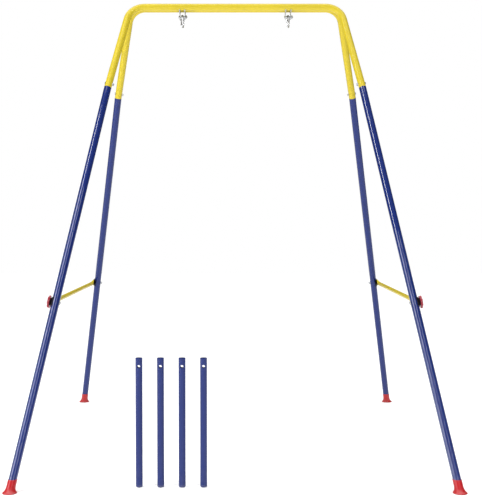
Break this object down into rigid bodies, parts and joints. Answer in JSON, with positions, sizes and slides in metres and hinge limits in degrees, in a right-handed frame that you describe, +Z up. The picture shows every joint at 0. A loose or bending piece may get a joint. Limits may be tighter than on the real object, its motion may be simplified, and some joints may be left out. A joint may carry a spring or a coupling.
{
  "type": "swing set frame",
  "caption": "Folding tube frame that holds a toddler swing between two hinged hoops, with side braces, star knobs, screw-lock carabiners and loose tubes",
  "frame": {"origin": "on the floor, midway between the four feet (the bottom centre of the box)", "axes": "+X to the right along the top bars, +Y to the rear, +Z up"},
  "size_m": [1.203, 1.3058, 1.388],
  "materials": {
    "hoop_paint": "gloss yellow enamel",
    "leg_paint": "gloss blue enamel",
    "brace_paint": "gloss yellow enamel",
    "loose_paint": "gloss blue enamel",
    "foot_plastic": "moulded red",
    "saddle_plastic": "moulded black",
    "knob_plastic": "moulded red",
    "plug_plastic": "moulded blue",
    "hanger_plate": "zinc plated",
    "bolt_steel": "zinc plated",
    "carabiner_steel": "bright plated",
    "sleeve_steel": "bright plated, knurled",
    "insert_brass": "turned"
  },
  "bodies": {
    "front_frame": {"front_hoop": "hoop_paint", "front_left_upper_leg": "leg_paint", "front_right_upper_leg": "leg_paint", "front_left_lower_leg": "leg_paint", "front_right_lower_leg": "leg_paint", "front_left_foot": "foot_plastic", "front_right_foot": "foot_plastic", "front_joint_bolts": "bolt_steel", "front_joint_nuts": "bolt_steel", "front_left_saddle": "saddle_plastic", "front_right_saddle": "saddle_plastic", "left_knob_bolt": "bolt_steel", "right_knob_bolt": "bolt_steel", "left_hanger_plates": "hanger_plate", "right_hanger_plates": "hanger_plate", "left_hanger_bolt": "bolt_steel", "right_hanger_bolt": "bolt_steel", "left_hanger_nut": "bolt_steel", "right_hanger_nut": "bolt_steel"},
    "rear_frame": {"rear_hoop": "hoop_paint", "rear_left_upper_leg": "leg_paint", "rear_right_upper_leg": "leg_paint", "rear_left_lower_leg": "leg_paint", "rear_right_lower_leg": "leg_paint", "rear_left_foot": "foot_plastic", "rear_right_foot": "foot_plastic", "rear_joint_bolts": "bolt_steel", "rear_joint_nuts": "bolt_steel", "rear_left_saddle": "saddle_plastic", "rear_right_saddle": "saddle_plastic", "left_pivot_bolt": "bolt_steel", "right_pivot_bolt": "bolt_steel", "left_pivot_nut": "bolt_steel", "right_pivot_nut": "bolt_steel"},
    "left_brace": {"left_brace": "brace_paint"},
    "left_knob": {"left_knob": "knob_plastic", "left_knob_washer": "bolt_steel", "left_knob_insert": "insert_brass"},
    "left_carabiner": {"left_carabiner_body": "carabiner_steel", "left_gate_pin": "carabiner_steel"},
    "left_gate": {"left_carabiner_gate": "carabiner_steel"},
    "left_sleeve": {"left_screw_sleeve": "sleeve_steel"},
    "right_brace": {"right_brace": "brace_paint"},
    "right_knob": {"right_knob": "knob_plastic", "right_knob_washer": "bolt_steel", "right_knob_insert": "insert_brass"},
    "right_carabiner": {"right_carabiner_body": "carabiner_steel", "right_gate_pin": "carabiner_steel"},
    "right_gate": {"right_carabiner_gate": "carabiner_steel"},
    "right_sleeve": {"right_screw_sleeve": "sleeve_steel"},
    "loose_tube_1": {"loose_tube_1": "loose_paint", "loose_plug_1": "plug_plastic"},
    "loose_tube_2": {"loose_tube_2": "loose_paint", "loose_plug_2": "plug_plastic"},
    "loose_tube_3": {"loose_tube_3": "loose_paint", "loose_plug_3": "plug_plastic"},
    "loose_tube_4": {"loose_tube_4": "loose_paint", "loose_plug_4": "plug_plastic"}
  },
  "joints": [
    {"name": "fold", "type": "hinge", "parent": "front_frame", "child": "rear_frame", "pos_m": [0, 0.0135, 1.374], "axis": [-1, 0, 0], "range_deg": [0, 48]},
    {"name": "left_brace_turn", "type": "hinge", "parent": "rear_frame", "child": "left_brace", "pos_m": [-0.49915, 0.41967, 0.47445], "axis": [-0.9874, -0.0651, 0.1441], "range_deg": [0, 64.8]},
    {"name": "left_knob_turn", "type": "hinge", "parent": "front_frame", "child": "left_knob", "pos_m": [-0.49915, -0.41967, 0.47445], "axis": [-0.9874, 0.0651, 0.1441], "range_deg": [0, 360]},
    {"name": "left_carabiner_swing", "type": "hinge", "parent": "front_frame", "child": "left_carabiner", "pos_m": [-0.1675, 0, 1.3455], "axis": [1, 0, 0], "range_deg": [-70, 70]},
    {"name": "left_gate_open", "type": "hinge", "parent": "left_carabiner", "child": "left_gate", "pos_m": [-0.17043, -0.00451, 1.32079], "axis": [-0.8387, 0.5446, 0], "range_deg": [0, 26], "stiffness_Nm_per_rad": 0.02},
    {"name": "left_sleeve_lock", "type": "slide", "parent": "left_gate", "child": "left_sleeve", "axis": [-0.07, -0.1078, 0.9917], "range_m": [0, 0.0022]},
    {"name": "right_brace_turn", "type": "hinge", "parent": "rear_frame", "child": "right_brace", "pos_m": [0.49915, 0.41967, 0.47445], "axis": [-0.9874, 0.0651, -0.1441], "range_deg": [0, 64.8]},
    {"name": "right_knob_turn", "type": "hinge", "parent": "front_frame", "child": "right_knob", "pos_m": [0.49915, -0.41967, 0.47445], "axis": [0.9874, 0.0651, 0.1441], "range_deg": [0, 360]},
    {"name": "right_carabiner_swing", "type": "hinge", "parent": "front_frame", "child": "right_carabiner", "pos_m": [0.1675, 0, 1.3455], "axis": [1, 0, 0], "range_deg": [-70, 70]},
    {"name": "right_gate_open", "type": "hinge", "parent": "right_carabiner", "child": "right_gate", "pos_m": [0.16498, -0.00474, 1.32079], "axis": [-0.8829, 0.4695, 0], "range_deg": [0, 26], "stiffness_Nm_per_rad": 0.02},
    {"name": "right_sleeve_lock", "type": "slide", "parent": "right_gate", "child": "right_sleeve", "axis": [-0.0603, -0.1135, 0.9917], "range_m": [0, 0.0022]},
    {"name": "loose_tube_1_lift", "type": "slide", "parent": "front_frame", "child": "loose_tube_1", "axis": [0, 0, 1], "range_m": [0, 0.3]},
    {"name": "loose_tube_2_lift", "type": "slide", "parent": "front_frame", "child": "loose_tube_2", "axis": [0, 0, 1], "range_m": [0, 0.3]},
    {"name": "loose_tube_3_lift", "type": "slide", "parent": "front_frame", "child": "loose_tube_3", "axis": [0, 0, 1], "range_m": [0, 0.3]},
    {"name": "loose_tube_4_lift", "type": "slide", "parent": "front_frame", "child": "loose_tube_4", "axis": [0, 0, 1], "range_m": [0, 0.3]}
  ],
  "couplings": [
    {"joint": "left_brace_turn", "follows": "fold", "ratio": 1.35},
    {"joint": "right_brace_turn", "follows": "fold", "ratio": 1.35}
  ]
}
